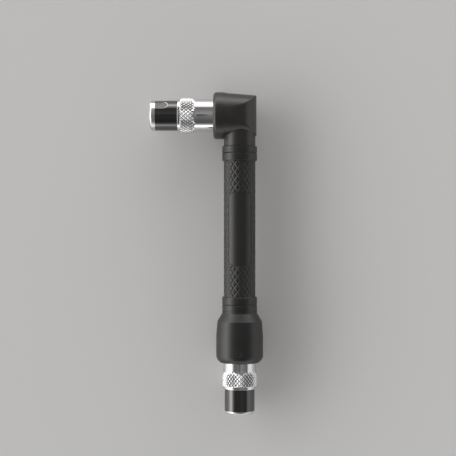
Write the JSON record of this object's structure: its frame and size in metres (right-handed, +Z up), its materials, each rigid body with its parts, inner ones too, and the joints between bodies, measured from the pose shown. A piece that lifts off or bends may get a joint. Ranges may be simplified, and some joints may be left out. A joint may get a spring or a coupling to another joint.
{
  "type": "offset screwdriver",
  "caption": "Right-angle handle with a knurled grip and a quick-release hexagonal bit holder at the head and in line at the tail.",
  "frame": {"origin": "centre of the underside of the bounding box, on the plane that the tool lies on", "axes": "+Y from the tail to the head along the handle, -X along the head towards its socket's mouth, +Z up, square to the plane of the elbow"},
  "size_m": [0.0362, 0.1027, 0.015],
  "materials": {
    "moulded_black": "satin moulded",
    "grip_black": "satin, diamond knurl",
    "barrel_black": "glossy black oxide",
    "sleeve_chrome": "polished chrome",
    "inner_steel": "machined",
    "spring_steel": "drawn wire",
    "ball_steel": "polished",
    "magnet_nickel": "nickel plated"
  },
  "bodies": {
    "tool": {"head_housing": "moulded_black", "head_core_block": "inner_steel", "head_cross_pin": "inner_steel", "head_barrel": "barrel_black", "head_magnet": "magnet_nickel", "head_spring": "spring_steel", "head_spring_washer": "inner_steel", "head_retaining_ring": "spring_steel", "upper_ring": "moulded_black", "grip_sleeve": "grip_black", "lower_ring": "moulded_black", "core_rod": "inner_steel", "tail_boot": "moulded_black", "tail_cross_pin": "inner_steel", "tail_barrel": "barrel_black", "tail_magnet": "magnet_nickel", "tail_spring": "spring_steel", "tail_spring_washer": "inner_steel", "tail_retaining_ring": "spring_steel"},
    "head_sleeve": {"head_sleeve": "sleeve_chrome"},
    "head_ball": {"head_ball": "ball_steel"},
    "tail_sleeve": {"tail_sleeve": "sleeve_chrome"},
    "tail_ball": {"tail_ball": "ball_steel"}
  },
  "joints": [
    {"name": "head_sleeve_slide", "type": "slide", "parent": "tool", "child": "head_sleeve", "axis": [1, 0, 0], "range_m": [0, 0.0022], "stiffness_N_per_m": 500, "springref_m": -0.002, "deforming": ["head_spring"]},
    {"name": "head_ball_lift", "type": "slide", "parent": "tool", "child": "head_ball", "axis": [0, 0, -1], "range_m": [0, 0.0003]},
    {"name": "tail_sleeve_slide", "type": "slide", "parent": "tool", "child": "tail_sleeve", "axis": [0, 1, 0], "range_m": [0, 0.0022], "stiffness_N_per_m": 500, "springref_m": -0.002, "deforming": ["tail_spring"]},
    {"name": "tail_ball_lift", "type": "slide", "parent": "tool", "child": "tail_ball", "axis": [0, 0, -1], "range_m": [0, 0.0003]}
  ],
  "couplings": [
    {"joint": "head_ball_lift", "follows": "head_sleeve_slide", "ratio": 0.13636},
    {"joint": "tail_ball_lift", "follows": "tail_sleeve_slide", "ratio": 0.13636}
  ]
}
